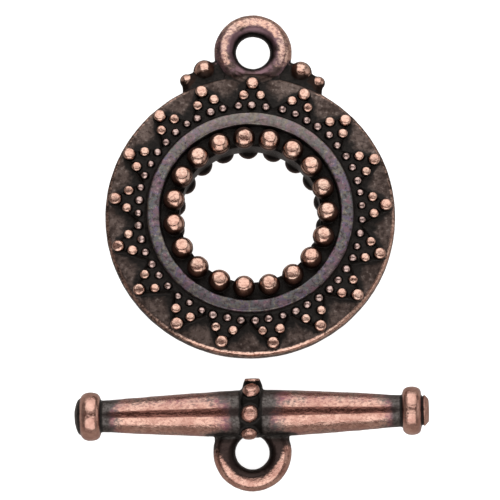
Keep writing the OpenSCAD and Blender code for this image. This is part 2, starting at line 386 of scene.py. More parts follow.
def wire_eye(y):
    """Round eye of round wire in the XY plane, rubbed a little flat on both faces."""
    around = np.arange(WIRE_STEPS) * FULL_TURN / WIRE_STEPS
    section = [(LOOP_R + LOOP_WIRE_R * math.cos(a), LOOP_WIRE_R * math.sin(a)) for a in around]
    points, faces = lathe(section, EYE_STEPS)
    over = np.maximum(np.abs(points[:, 2]) - LOOP_FACE, 0)
    points[:, 2] -= np.sign(points[:, 2]) * over * LOOP_FACE_WORN
    return points + np.array((0, y, 0)), faces


def fillet(start, end, start_r, end_r, middle_r, steps=24):
    """Waisted stem between two points in the XY plane, as molten metal leaves between two lumps."""
    start, end = np.array(start, float), np.array(end, float)
    along = end - start
    length = np.linalg.norm(along)
    along /= length
    side = np.array((-along[1], along[0], 0))
    up = np.array((0, 0, 1.0))
    angle = np.arange(steps) * FULL_TURN / steps
    rings = []
    for t in np.linspace(0, 1, 9):
        rim = start_r * (1 - t) + end_r * t
        radius = rim - (rim - middle_r) * 4 * t * (1 - t)
        rings.append(start + along * length * t
                     + radius * (np.cos(angle)[:, None] * side + np.sin(angle)[:, None] * up))
    return ring_of(rings)


def polar(radius, angle):
    """Point at a radius and an angle from +Y towards +X."""
    return radius * math.sin(angle), radius * math.cos(angle)


# Castings

def combine(parts):
    """One mesh of several closed shapes, plain ones or Blender meshes."""
    all_points, all_faces, start = [], [], 0
    for part in parts:
        if isinstance(part, bpy.types.Mesh):
            points, faces = coordinates(part), [tuple(p.vertices) for p in part.polygons]
        else:
            points, faces = part
        all_points.append(points)
        all_faces += [tuple(i + start for i in f) for f in faces]
        start += len(points)
    mesh = bpy.data.meshes.new("parts")
    mesh.from_pydata(np.concatenate(all_points).tolist(), [], all_faces)
    work = bmesh.new()
    work.from_mesh(mesh)
    bmesh.ops.recalc_face_normals(work, faces=work.faces)
    work.to_mesh(mesh)
    work.free()
    return mesh


def coordinates(mesh):
    """A mesh's points as an array."""
    flat = np.empty(len(mesh.vertices) * 3)
    mesh.vertices.foreach_get("co", flat)
    return flat.reshape(-1, 3)


def softened(points, edges, rounds):
    """Points moved to the mean of their neighbours, round by round."""
    n = len(points)
    first, second = edges[:, 0], edges[:, 1]
    degree = np.bincount(first, minlength=n) + np.bincount(second, minlength=n)
    for _ in range(rounds):
        total = [np.bincount(first, points[second, k], n) + np.bincount(second, points[first, k], n)
                 for k in range(3)]
        points = np.stack(total, -1) / degree[:, None]
    return points


def directions(mesh):
    """A mesh's point normals as an array."""
    flat = np.empty(len(mesh.vertices) * 3)
    mesh.vertices.foreach_get("normal", flat)
    return flat.reshape(-1, 3)


def relief(mesh):
    """How far each point stands out of its softened surroundings: close by, and further round."""
    points, normals = coordinates(mesh), directions(mesh)
    edges = np.empty(len(mesh.edges) * 2, np.int64)
    mesh.edges.foreach_get("vertices", edges)
    edges = edges.reshape(-1, 2)
    near = softened(points, edges, FINE_SMOOTHING)
    far = softened(near, edges, WIDE_SMOOTHING - FINE_SMOOTHING)
    return [np.einsum("ij,ij->i", points - soft, normals) for soft in (near, far)]


def fuse(parts, name):
    """Melts closed shapes into one skin with soft joints, and keeps its relief as two attributes."""
    carrier = bpy.data.objects.new(name, combine(parts))
    bpy.context.scene.collection.objects.link(carrier)
    melt = carrier.modifiers.new("melt", "REMESH")
    melt.mode, melt.voxel_size, melt.adaptivity = "VOXEL", VOXEL, 0.0
    soft = carrier.modifiers.new("soft", "SMOOTH")
    soft.factor, soft.iterations = 0.5, 3
    full = baked(carrier)
    near, far = relief(full)
    finder = kdtree.KDTree(len(full.vertices))
    for i, point in enumerate(coordinates(full)):
        finder.insert(point, i)
    finder.balance()
    carrier.modifiers.clear()
    carrier.data = full
    thin = carrier.modifiers.new("thin", "DECIMATE")
    thin.ratio = min(1.0, SKIN_TRIANGLES / (2 * len(full.polygons)))
    skin = baked(carrier)
    bpy.data.objects.remove(carrier)
    nearest = np.array([finder.find(point)[1] for point in coordinates(skin)])
    keep(skin, relief_near=near[nearest], relief_far=far[nearest])
    return skin


def keep(mesh, **marks):
    """Keeps values for each point as attributes."""
    for name, values in marks.items():
        kept = mesh.attributes.new(name, "FLOAT", "POINT")
        kept.data.foreach_set("value", np.asarray(values, np.float32))


def lay(mesh, name, body, node, place):
    """Lays a casting in the frame, in metres, on its body, in place of its node."""
    mesh.transform(Matrix.Scale(MM, 4) @ place)
    for polygon in mesh.polygons:
        polygon.use_smooth = True
    mesh.name = name
    piece = bpy.data.objects.new(name, mesh)
    bpy.context.scene.collection.objects.link(piece)
    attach(piece, body)
    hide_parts(node)


def disc_profile():
    """Section of the disc with the flat bands on both faces, counterclockwise."""
    third = BAND_EDGE / 3
    band = [(BAND_IN_R, BAND_TOP - BAND_EDGE), (BAND_IN_R + third, BAND_TOP - third),
            (BAND_IN_R + BAND_EDGE, BAND_TOP), (BAND_OUT_R - BAND_EDGE, BAND_TOP),
            (BAND_OUT_R - third, BAND_TOP - third), (BAND_OUT_R, BAND_TOP - BAND_EDGE)]
    foot = [(BAND_OUT_R, STAR_TOP + BAND_FOOT), (BAND_OUT_R + BAND_FOOT, STAR_TOP + BAND_FOOT / 2)]
    rim = [(RING_R - RIM_BEVEL, RIM_HALF), (RING_R - RIM_BEVEL * 0.3, RIM_HALF - RIM_BEVEL * 0.3),
           (RING_R, RIM_HALF - RIM_BEVEL)]
    upper = [(HOLE_R, GROOVE_TOP), (BAND_IN_R, GROOVE_TOP)] + band + foot + [
        (BAND_OUT_R + 2 * BAND_FOOT, DISC_TOP)] + rim
    return upper + [(r, -z) for r, z in reversed(upper)]


def with_rays(points):
    """Points turned round the ring's middle with their ray; the turn fades out midway between two rays."""
    step = FULL_TURN / STAR_POINTS
    angle = np.arctan2(points[:, 0], points[:, 1])
    ray = np.round(angle / step)
    turn = np.radians(RAY_TURNS)[ray.astype(int) % STAR_POINTS] * rise(np.abs(angle / step - ray), 0.5, 0.46)
    x, y = points[:, 0].copy(), points[:, 1].copy()
    points[:, 0] = x * np.cos(turn) + y * np.sin(turn)
    points[:, 1] = y * np.cos(turn) - x * np.sin(turn)
    return points


def star_plate():
    """Star plate through the disc: its rays slope down all round to the flats."""
    step = math.pi / STAR_POINTS
    inner_r = (BAND_IN_R + BAND_OUT_R) / 2

    def outline(drawn_in, z):
        radii = (TIP_R - 2 * drawn_in, VALLEY_R - drawn_in)
        return np.array([(*polar(radii[i % 2], i * step), z) for i in range(2 * STAR_POINTS)])

    wall = [outline(0.0, DISC_TOP - STAR_SUNK), outline(STAR_SLOPE * 0.6, (DISC_TOP + STAR_TOP) / 2),
            outline(STAR_SLOPE, STAR_TOP)]
    inner = [np.array([(*polar(inner_r, i * step), z) for i in range(2 * STAR_POINTS)])
             for z in (-STAR_TOP, STAR_TOP)]
    low = [points * (1, 1, -1) for points in reversed(wall)]
    points, faces = ring_of([inner[0]] + low + wall + [inner[1], inner[0]], closed_ends=False)
    return with_rays(points) * STAR_STRETCH, faces


def bead_circles(tree, metal):
    """All circles of beads and granules on both faces of the ring."""
    large = dict(
        Count=BEAD_COUNT, Circle_Radius=BEAD_CIRCLE_R, Bead_Radius=BEAD_R, Height=BEAD_HEIGHT,
        Worn_Share=0.86, Lean=0.0, Size_Spread=0.012, Place_Spread=0.02, Tilt_Spread=0.12, Segments=40)
    tip = dict(
        Count=STAR_POINTS, Circle_Radius=TIP_GRANULE_AT, Bead_Radius=TIP_GRANULE_R, Height=STAR_TOP,
        Worn_Share=0.68, Lean=0.11, Size_Spread=0.05, Place_Spread=0.03, Tilt_Spread=0.1, Segments=24)
    pair = dict(
        Count=STAR_POINTS, Circle_Radius=PAIR_GRANULE_AT, Bead_Radius=PAIR_GRANULE_R, Height=STAR_TOP,
        Worn_Share=0.66, Lean=0.03, Size_Spread=0.06, Place_Spread=0.03, Tilt_Spread=0.14, Segments=20)
    fine = dict(
        Count=3 * STAR_POINTS, Circle_Radius=ROW_GRANULE_AT, Bead_Radius=ROW_GRANULE_R, Height=STAR_TOP,
        Worn_Share=0.8, Lean=0.0, Size_Spread=0.11, Place_Spread=0.045, Tilt_Spread=0.4, Segments=16)
    circles = (
        (large, (FRONT_PHASE, BACK_PHASE)),
        (tip, (AT_THE_LOOP, AT_THE_LOOP)),
        (pair, (AT_THE_LOOP + PAIR_HALF_ANGLE,) * 2),
        (pair, (AT_THE_LOOP - PAIR_HALF_ANGLE,) * 2),
        (fine, (AT_THE_LOOP, AT_THE_LOOP)),
    )
    made = []
    for row, (sizes, phases) in enumerate(circles):
        for side, phase in enumerate(phases):
            beads = grow(bpy.data.meshes.new("empty"), tree, First_Angle=phase, Turned_Over=side * math.pi,
                         Seed=10 * row + side, Material=metal, **sizes)
            if sizes is not large:
                beads.vertices.foreach_set("co", with_rays(coordinates(beads)).ravel())
                beads.transform(Matrix.Diagonal((*STAR_STRETCH, 1)))
                beads.transform(Matrix.Translation((0, 0 if sizes is tip else STAR_INNER_Y, 0)))
            made.append(beads)
    return made


def ring_loop():
    """Loop on the rim with its foot, and the granules and fillets beside it."""
    inner = RING_R - BAIL_WEB_SUNK
    waist_x, waist_y = BAIL_WEB_HALF - BAIL_WAIST_IN, BAIL_Y - BAIL_WAIST_DOWN
    arch = [(WEB_FROM_LOOP * math.sin(a), BAIL_Y - WEB_FROM_LOOP * math.cos(a))
            for a in np.linspace(math.pi / 3, -math.pi / 3, 15)]
    foot = [(-BAIL_WEB_HALF, inner), (BAIL_WEB_HALF, inner), (waist_x, waist_y)]
    foot += arch + [(-waist_x, waist_y)]
    shapes = [wire_eye(BAIL_Y), prism(foot, -BAIL_WEB_TOP, BAIL_WEB_TOP)]
    at_big, at_small, at_rim = polar(*SIDE_BIG_AT), polar(*SIDE_SMALL_AT), polar(*FILLETS_TO)
    shoulder = [(BAIL_WEB_HALF - 0.3, inner), at_rim, at_small, at_big, (LOOP_R + 0.1, BAIL_Y - 0.5)]
    for side in (-1, 1):
        loop_side, big, small, rim = (
            (side * x, y, 0) for x, y in (FILLETS_FROM, at_big, at_small, at_rim))
        shapes += [
            ball(big, SIDE_BIG_R), ball(small, SIDE_SMALL_R),
            prism([(side * x, y) for x, y in shoulder][::side], -SHOULDER_TOP, SHOULDER_TOP),
            fillet(loop_side, big, *LOOP_TO_BIG), fillet(big, small, *BIG_TO_SMALL),
            fillet(small, rim, *SMALL_TO_RIM),
        ]
    return shapes


def ring_place():
    """Lays the ring casting on the beads of its back."""
    return Matrix.Translation(RING_CENTRE) @ Matrix.Rotation(math.radians(RING_TURN), 4, "Z")


def bar_place():
    """Lays the bar casting on its loop, its collar and its left end ring."""
    return (Matrix.Translation(BAR_CENTRE) @ Matrix.Rotation(math.radians(BAR_TURN), 4, "Z")
            @ Matrix.Rotation(math.radians(-BAR_PITCH), 4, "Y")
            @ Matrix.Rotation(math.radians(BAR_ROLL), 4, "X"))


def bar_profile():
    """Section of the bar: radius against place, from the left end disc to the right one."""
    def body(side, swell):
        places = np.linspace(0, NECK_X, 15)[1:]
        t = places / NECK_X
        straight = BAR_MID_R + (BAR_NECK_R + BAR_NECK_FLARE - BAR_MID_R) * t
        radii = straight + swell * 4 * t * (1 - t)
        return [(r, side * x) for r, x in zip(radii, places)]

    def knob(side):
        out = LEFT_KNOB_OUT if side < 0 else 0.0
        half = KNOB_HALF + out / 2
        tube = [(KNOB_R - half + half * math.cos(a) ** KNOB_ROUNDNESS,
                 side * (KNOB_X + out / 2 + half * math.sin(a)))
                for a in np.linspace(-math.pi / 2.1, math.pi / 2.1, 21)]
        root = (BAR_NECK_R, side * (KNOB_X - KNOB_HALF))
        groove = (CAP_GROOVE_R, side * (CAP_X - CAP_GROOVE_WIDTH + out * 0.8))
        return [root] + tube + [groove]

    right_cap = [(CAP_GROOVE_R, CAP_X), (CAP_R, CAP_X + CAP_EDGE),
                 (CAP_FACE_R + 0.1, BAR_HALF - CAP_BEVEL / 2), (CAP_FACE_R, BAR_HALF), (0, BAR_HALF)]
    left_cap = [(CAP_R + CAP_BEVEL, -(CAP_X - CAP_EDGE)), (CAP_R, -(CAP_X + CAP_BEVEL)),
                (CAP_FACE_R + 0.1, -(BAR_HALF - CAP_BEVEL)), (CAP_FACE_R * 0.6, -(BAR_HALF - CAP_EDGE)),
                (0, -BAR_HALF)]
    right = body(1, BAR_SWELL_RIGHT) + knob(1) + right_cap
    left = body(-1, BAR_SWELL_LEFT) + knob(-1) + left_cap
    return left[::-1] + [(BAR_MID_R, 0)] + right


def collar_parts(tree, metal):
    """Collar, its beads and the ground-off stub of the casting's gate."""
    face_r, edge_x = COLLAR_R - COLLAR_BEVEL, COLLAR_HALF - COLLAR_BEVEL
    drum, faces = lathe([(0, -COLLAR_HALF), (face_r, -COLLAR_HALF), (COLLAR_R, -edge_x),
                         (COLLAR_R, edge_x), (face_r, COLLAR_HALF), (0, COLLAR_HALF)],
                        COLLAR_STEPS, along="X")
    off = np.array((0, COLLAR_OFF, 0))
    beads = grow(bpy.data.meshes.new("empty"), tree, Count=COLLAR_BEADS, Circle_Radius=COLLAR_BEAD_CIRCLE_R,
                 Bead_Radius=COLLAR_BEAD_R, Height=0.0, First_Angle=math.radians(30), Worn_Share=0.97,
                 Lean=0.0, Size_Spread=0.012, Place_Spread=0.01, Tilt_Spread=0.3, Turned_Over=0.0, Seed=70,
                 Segments=32, Material=metal)
    beads.transform(Matrix(((0, 0, 1, 0), (1, 0, 0, COLLAR_OFF), (0, 1, 0, 0), (0, 0, 0, 1))))
    for vertex in beads.vertices:
        out = math.hypot(vertex.co.y - COLLAR_OFF, vertex.co.z)
        drawn_in = 1 - COLLAR_WORN * max(out - COLLAR_WORN_R, 0) / out
        vertex.co.y = COLLAR_OFF + (vertex.co.y - COLLAR_OFF) * drawn_in
        vertex.co.z = vertex.co.z * drawn_in
        if vertex.co.z > 0:
            vertex.co.x += COLLAR_UPPER_X + COLLAR_SLANT * vertex.co.y
        else:
            vertex.co.x += COLLAR_FAR_X if vertex.co.y > COLLAR_OFF else COLLAR_LOWER_X
        if vertex.co.y > COLLAR_BEAD_R + COLLAR_OFF:
            vertex.co.y -= COLLAR_FAR_IN
        elif vertex.co.y < -COLLAR_BEAD_R:
            vertex.co.y += COLLAR_AT_LOOP_IN
            vertex.co.z += COLLAR_AT_LOOP_UP if vertex.co.z > 0 else 0
    angle = np.arange(STUB_STEPS) * FULL_TURN / STUB_STEPS
    stub = ((0, STUB_ROOT_R), (STUB_OUT - STUB_SHOULDER_DOWN, STUB_SHOULDER_R),
            (STUB_OUT - STUB_BEVEL_DOWN, STUB_FACE_R + STUB_BEVEL_R), (STUB_OUT, STUB_FACE_R))
    rings = [np.c_[r * np.sin(angle) + STUB_X, np.full(STUB_STEPS, y), r * np.cos(angle)] for y, r in stub]
    return [(drum + off, faces), beads, ring_of(rings)]


def bar_loop():
    """Loop under the collar: its sides run straight up into the bar."""
    arch = [(WEB_FROM_LOOP * math.sin(a), BAR_LOOP_Y + WEB_FROM_LOOP * math.cos(a))
            for a in np.linspace(-math.pi / 2, math.pi / 2, 19)]
    top_half, top = BAR_WEB_HALF + BAR_WEB_SPREAD, -BAR_MID_R + BAR_WEB_SUNK
    web = [(-BAR_WEB_HALF, BAR_LOOP_Y)] + arch + [
        (BAR_WEB_HALF, BAR_LOOP_Y), (top_half, top), (-top_half, top)]
    return [wire_eye(BAR_LOOP_Y), prism(web[::-1], -BAR_WEB_TOP, BAR_WEB_TOP)]


# Finishes

def shader(tree, kind, links=None, **settings):
    """A shader node."""
    return add_node(tree, "ShaderNode" + kind, links, **settings)


def ramp(tree, value, stops):
    """A Color Ramp's colour for a value."""
    made = shader(tree, "ValToRGB", {0: value})
    points = made.color_ramp.elements
    while len(points) < len(stops):
        points.new(0.5)
    for point, (at, colour) in zip(points, stops):
        point.position = at
        point.color = (*colour, 1)
    return made.outputs[0]


def span(tree, value, low, high, to_low=0.0, to_high=1.0):
    """A value taken smoothly from one range to another, held at the ends."""
    made = shader(tree, "MapRange", {0: value, 1: low, 2: high, 3: to_low, 4: to_high},
                  interpolation_type="SMOOTHSTEP")
    return made.outputs[0]


def blend_colours(tree, share, first, second):
    """A Mix node's colour."""
    made = shader(tree, "Mix", data_type="RGBA")
    for key, value in ((0, share), (6, first), (7, second)):
        if isinstance(value, bpy.types.NodeSocket):
            tree.links.new(value, made.inputs[key])
        else:
            made.inputs[key].default_value = (*value, 1) if isinstance(value, tuple) else value
    return made.outputs[2]


def noise(tree, place, per_mm, detail, roughness, stretch=None):
    """Noise on object coordinates, with its size given per millimetre."""
    if stretch:
        place = shader(tree, "Mapping", {"Vector": place, "Scale": stretch}).outputs[0]
    return shader(tree, "TexNoise", {
        "Vector": place, "Scale": per_mm / MM, "Detail": detail, "Roughness": roughness}).outputs[0]


def attribute(tree, name):
    """A point attribute's value."""
    return shader(tree, "Attribute", attribute_name=name).outputs["Fac"]


def centred(tree, value, amount):
    """A noise value moved to spread evenly round 0, by an amount."""
    return maths(tree, "MULTIPLY", maths(tree, "SUBTRACT", value, 0.5), amount)


def ring_film(tree, place, mottle):
    """Colour of the ring's blackening: grey-violet band, painted lighter at its far side as painted sheen and
    darker at its near side as painted shade, earthy flats, plum loop, dark hollows and painted shade.
    """
    bloom = noise(tree, place, 0.8, 4.0, 0.6)
    fleck = noise(tree, place, 3.6, 3.0, 0.65)
    violet = ramp(tree, bloom, (
        (0.34, (0.20, 0.15, 0.15)), (0.42, (0.25, 0.13, 0.18)), (0.47, (0.14, 0.13, 0.22)),
        (0.52, (0.25, 0.21, 0.15)), (0.57, (0.12, 0.16, 0.17)), (0.66, (0.25, 0.13, 0.165))))
    grey = blend_colours(tree, span(tree, fleck, 0.42, 0.58, 0.65, 0.05), violet, (0.188, 0.167, 0.169))
    grey = blend_colours(tree, span(tree, fleck, 0.47, 0.39, 0.0, 0.75), grey, (0.055, 0.044, 0.045))
    grey = blend_colours(tree, span(tree, fleck, 0.57, 0.68, 0.0, 0.6), grey, (0.48, 0.41, 0.37))
    # Painted sheen and shade on the band: lighter towards the loop, darker on the near side
    upper = attribute(tree, "upper")
    grey = blend_colours(tree, span(tree, upper, 0.3, 1.0, 0.0, 0.35), grey, (0.36, 0.30, 0.25))
    grey = blend_colours(tree, span(tree, upper, -0.2, -1.0, 0.0, 0.3), grey, (0.07, 0.05, 0.06))
    earth = blend_colours(tree, span(tree, mottle, 0.34, 0.64), (0.062, 0.044, 0.038), (0.150, 0.112, 0.098))
    earth = blend_colours(tree, span(tree, fleck, 0.47, 0.38, 0.0, 0.5), earth, (0.028, 0.021, 0.018))
    earth = blend_colours(tree, span(tree, fleck, 0.57, 0.67, 0.0, 0.4), earth, (0.34, 0.28, 0.25))
    plum = blend_colours(tree, span(tree, bloom, 0.37, 0.53), (0.100, 0.068, 0.064), (0.250, 0.150, 0.172))
    brown = blend_colours(tree, attribute(tree, "on_loop"), (0.085, 0.042, 0.030), plum)
    # Near black where there is patina in hollows and where shade is painted
    brown = blend_colours(tree, attribute(tree, "hollow"), brown, (0.013, 0.011, 0.010))
    beside_band = blend_colours(tree, attribute(tree, "flat"), brown, earth)
    return blend_colours(tree, attribute(tree, "band"), beside_band, grey)


def bar_film(tree, place, mottle):
    """Colour of the blackening on the bar: black on the collar and in the loop, grey and plum beside them,
    and darker along the painted dark reflection on its top.
    """
    fleck = noise(tree, place, 5.0, 3.0, 0.7)
    plum = blend_colours(tree, span(tree, mottle, 0.40, 0.60), (0.165, 0.140, 0.135), (0.300, 0.125, 0.160))
    grey = blend_colours(tree, span(tree, fleck, 0.35, 0.65), (0.065, 0.056, 0.052), (0.160, 0.142, 0.134))
    open_film = blend_colours(tree, span(tree, attribute(tree, "rub"), 0.15, 0.45), grey, plum)
    # The film is also painted darker along the bar's top: painted dark reflection
    open_film = blend_colours(tree, maths(tree, "MULTIPLY", attribute(tree, "streak"), 0.8), open_film,
                              (0.040, 0.028, 0.026))
    open_film = blend_colours(tree, attribute(tree, "on_loop"), open_film, (0.060, 0.041, 0.037))
    # Near black where there is patina in hollows and on the painted shade of the left end cap
    return blend_colours(tree, attribute(tree, "hollow"), open_film, (0.010, 0.009, 0.008))


def antique_copper(name, film, bright, dull, grain_depth):
    """Copper plating, blackened, then rubbed bright on all that stands out; its marks also carry painted
    light and shade.
    """
    material = bpy.data.materials.new(name)
    material.use_nodes = True
    tree = material.node_tree
    tree.nodes.clear()
    place = shader(tree, "TexCoord").outputs["Object"]
    mottle = noise(tree, place, 0.9, 4.0, 0.6)
    speck = noise(tree, place, 6.0, 3.0, 0.65, stretch=(0.7, 1, 1))

    # How far the metal stands out, uneven as on rubbed metal, and where the rubbing reached it
    uneven = maths(tree, "ADD", centred(tree, mottle, 0.04), centred(tree, speck, 0.05))
    less_on_flats = FAR_WEIGHT_ON_FLATS - FAR_WEIGHT
    far_weight = maths(tree, "MULTIPLY_ADD", attribute(tree, "flat"), less_on_flats, FAR_WEIGHT)
    standing = maths(tree, "ADD", maths(tree, "MULTIPLY", attribute(tree, "relief_far"), far_weight),
                     maths(tree, "MULTIPLY_ADD", attribute(tree, "relief_near"), NEAR_WEIGHT, uneven))
    standing = maths(tree, "MULTIPLY_ADD", attribute(tree, "bare"), 0.1, standing)
    open_share = span(tree, standing, -0.08, -0.01)
    rubbed = maths(tree, "ADD", attribute(tree, "rub"),
                   maths(tree, "ADD", centred(tree, speck, 0.9), centred(tree, mottle, 0.5)))
    worn = maths(tree, "MULTIPLY", span(tree, standing, -0.05, 0.05), span(tree, rubbed, 0.25, 0.75))

    # Copper, duller in specks and paler on the fine row, over the blackening, and brown along the bar's top
    # as a painted dark reflection
    copper = blend_colours(tree, span(tree, mottle, 0.35, 0.65), bright, dull)
    dulled = maths(tree, "MULTIPLY", span(tree, speck, 0.56, 0.38, 0.0, 0.6),
                   span(tree, attribute(tree, "rub"), 1.0, 1.5, 1.0, 0.35))
    copper = blend_colours(tree, dulled, copper, (0.40, 0.19, 0.145))
    in_row = maths(tree, "MULTIPLY", attribute(tree, "row"), 0.6)
    copper = blend_colours(tree, in_row, copper, (0.52, 0.42, 0.42))
    streak = span(tree, maths(tree, "ADD", attribute(tree, "streak"), centred(tree, speck, 0.5)), 0.25, 0.75)
    copper = blend_colours(tree, maths(tree, "MULTIPLY", streak, 0.95), copper, (0.22, 0.09, 0.07))
    black = blend_colours(tree, span(tree, speck, 0.3, 0.7), (0.009, 0.008, 0.007), (0.022, 0.018, 0.016))
    dark = blend_colours(tree, open_share, black, film(tree, place, mottle))
    colour = blend_colours(tree, worn, dark, copper)

    # Few dark pits, gloss and grain
    pits = shader(tree, "TexVoronoi", {"Vector": place, "Scale": 1.1 / MM})
    few = shader(tree, "SeparateColor", {0: pits.outputs["Color"]}).outputs[0]
    pit = maths(tree, "MULTIPLY", span(tree, pits.outputs["Distance"], 0.09, 0.05),
                maths(tree, "GREATER_THAN", few, 0.72))
    colour = blend_colours(tree, maths(tree, "MULTIPLY", pit, 0.8), colour, (0.03, 0.02, 0.017))
    rough = maths(tree, "ADD", span(tree, worn, 0.0, 1.0, 0.40, 0.22), centred(tree, speck, 0.14))
    grain = maths(tree, "ADD", noise(tree, place, 6.5, 3.0, 0.6, stretch=(0.7, 1, 1)),
                  maths(tree, "MULTIPLY", pit, -0.5))
    deep = maths(tree, "MULTIPLY_ADD", attribute(tree, "hollow"), 0.02 * MM, grain_depth * MM)
    bump = shader(tree, "Bump", {"Height": grain, "Strength": 1.0, "Distance": deep})
    metallic = span(tree, maths(tree, "ADD", worn, open_share), 0.0, 1.0, 0.4, 1.0)
    surface = shader(tree, "BsdfPrincipled", {
        "Base Color": colour, "Metallic": metallic, "Roughness": rough,
        "Specular IOR Level": 0.15, "Normal": bump.outputs[0]})
    shader(tree, "OutputMaterial", {"Surface": surface.outputs[0]})
    return material


def rise(value, low, high):
    """Smooth step from 0 at low to 1 at high; it falls where low is the larger."""
    t = np.clip((value - low) / (high - low), 0, 1)
    return t * t * (3 - 2 * t)


def mark_ring_finish(mesh):
    """Marks what the polishing reached on the ring, where light and shade are painted, and its band, flats,
    hollows and smallest granules.
    """
    x, y, z = coordinates(mesh).T
    radius = np.hypot(x, y)
    height = np.abs(z)
    facing = directions(mesh)
    up = np.abs(facing[:, 2])

    # Beads, granules and rim, which is rubbed, with painted light making its lower right brighter
    inwards = -(x * facing[:, 0] + y * facing[:, 1]) / radius
    on_beads = rise(height, GROOVE_TOP + 0.2, GROOVE_TOP + 0.5) * rise(up + 0.35 * inwards, 0.45, 0.95)
    on_granules = rise(height, STAR_TOP + 0.06, STAR_TOP + 0.16) * rise(up, 0.3, 0.7)
    # Painted light on the rim's lower right
    painted_light_lower_right = rise((0.5 * x - 0.87 * y) / radius, 0.15, 0.95)
    on_rim = (0.42 + 0.33 * painted_light_lower_right) * rise(radius, RING_R - 0.34, RING_R - 0.2)
    on_rim *= (0.5 + 0.5 * rise(up, 0.1, 0.5)) * rise(y, 9.0, 8.7)

    # Loop, rubbed less where it comes down to the rim, with painted shade on its left side
    beyond_rim = rise(radius, RING_R + 0.02, RING_R + 0.12)
    from_loop = np.hypot(x, y - BAIL_Y)
    loop = rise(from_loop, LOOP_R + LOOP_WIRE_R + 0.06, LOOP_R + LOOP_WIRE_R)
    inside_loop = rise(from_loop, LOOP_R, LOOP_R - 0.4)
    low_on_loop = rise(y, BAIL_Y - 0.4, BAIL_Y - 2.0)
    # Painted shade on the loop's left side
    painted_shade_left_on_loop = rise(x, -LOOP_R, -LOOP_R - 0.5)
    at_pedestal = rise(y, BAIL_Y - 1.4, BAIL_Y - 2.2)
    flank = rise(from_loop, LOOP_R + 0.3, LOOP_R + 0.6) * rise(y, BAIL_Y + 0.2, BAIL_Y - 0.7)
    on_loop = loop * (0.6 - 0.6 * low_on_loop - 0.3 * painted_shade_left_on_loop) * (1 - inside_loop)

    # Granules beside the loop, but not the fillets between them: rubbed on top, with painted shade on their
    # lower sides and on their sides towards the loop
    in_balls = np.zeros(len(x))
    outwards = facing * np.c_[np.sign(x), np.ones((len(x), 2))]
    for place, size in ((SIDE_BIG_AT, SIDE_BIG_R), (SIDE_SMALL_AT, SIDE_SMALL_R)):
        ball_x, ball_y = polar(*place)
        from_ball = np.c_[np.abs(x) - ball_x, y - ball_y, z]
        distance = np.linalg.norm(from_ball, axis=1)
        round_share = rise(np.einsum("ij,ij->i", from_ball, outwards) / distance, 0.85, 0.96)
        in_balls = np.maximum(in_balls, rise(np.abs(distance - size), 0.09, 0.05) * round_share)
    balls_rubbed_with_painted_shade = (in_balls * rise(up, 0.35, 0.75) * rise(facing[:, 1], -0.6, 0.1)
                * rise(outwards[:, 0], -0.5, -0.1))

    # All together, and what stays dark: patina in the hollows, and painted shade beside the loop
    outside = on_rim * (1 - beyond_rim) + beyond_rim * np.maximum(on_loop, balls_rubbed_with_painted_shade)
    in_row = rise(radius, VALLEY_R + 0.42, VALLEY_R + 0.27) * rise(radius, BAND_OUT_R, BAND_OUT_R + 0.1)
    rub = np.where(radius < BAND_IN_R, on_beads, np.maximum(on_granules * (1 - 0.3 * in_row), outside))
    band = (rise(radius, BAND_IN_R - 0.04, BAND_IN_R) * rise(radius, BAND_OUT_R + 0.06, BAND_OUT_R)
            * rise(height, BAND_TOP - 0.35, BAND_TOP - 0.15))
    outside_band = rise(radius, BAND_OUT_R + 0.1, BAND_OUT_R + 0.3)
    flat = (outside_band * rise(radius, RING_R - 0.05, RING_R - 0.2)
            * rise(height, DISC_TOP + 0.14, DISC_TOP + 0.06))
    in_hole = rise(radius, BAND_IN_R + 0.05, BAND_IN_R - 0.05)
    in_hole *= rise(height, BEAD_HEIGHT + 0.05, BEAD_HEIGHT - 0.4)
    on_star = rise(radius, BAND_IN_R, BAND_IN_R + 0.1) * rise(height, STAR_TOP + 0.3, STAR_TOP + 0.1)
    # Black beside the loop: patina on fillets and shoulders, and painted shade on the granules' lower sides
    patina_and_shade_beside_loop = beyond_rim * (1 - loop) * (1 - in_balls * rise(facing[:, 1], -0.6, 0.0))
    dark_on_loop = np.maximum.reduce([inside_loop * rise(up, 0.95, 0.6), 0.4 * at_pedestal, 0.2 * flank])
    hollow = np.maximum.reduce([in_hole, on_star * (1 - beyond_rim) * (1 - flat) * (1 - on_rim),
                                0.85 * patina_and_shade_beside_loop, loop * beyond_rim * dark_on_loop])
    nowhere = np.zeros(len(x))
    # upper: place across the ring towards the loop, for the band's painted sheen and painted shade
    keep(mesh, rub=rub * (1 - band), band=band, flat=flat, on_loop=beyond_rim * loop, hollow=hollow,
         row=in_row, streak=nowhere, bare=nowhere, upper=y / BAND_OUT_R)


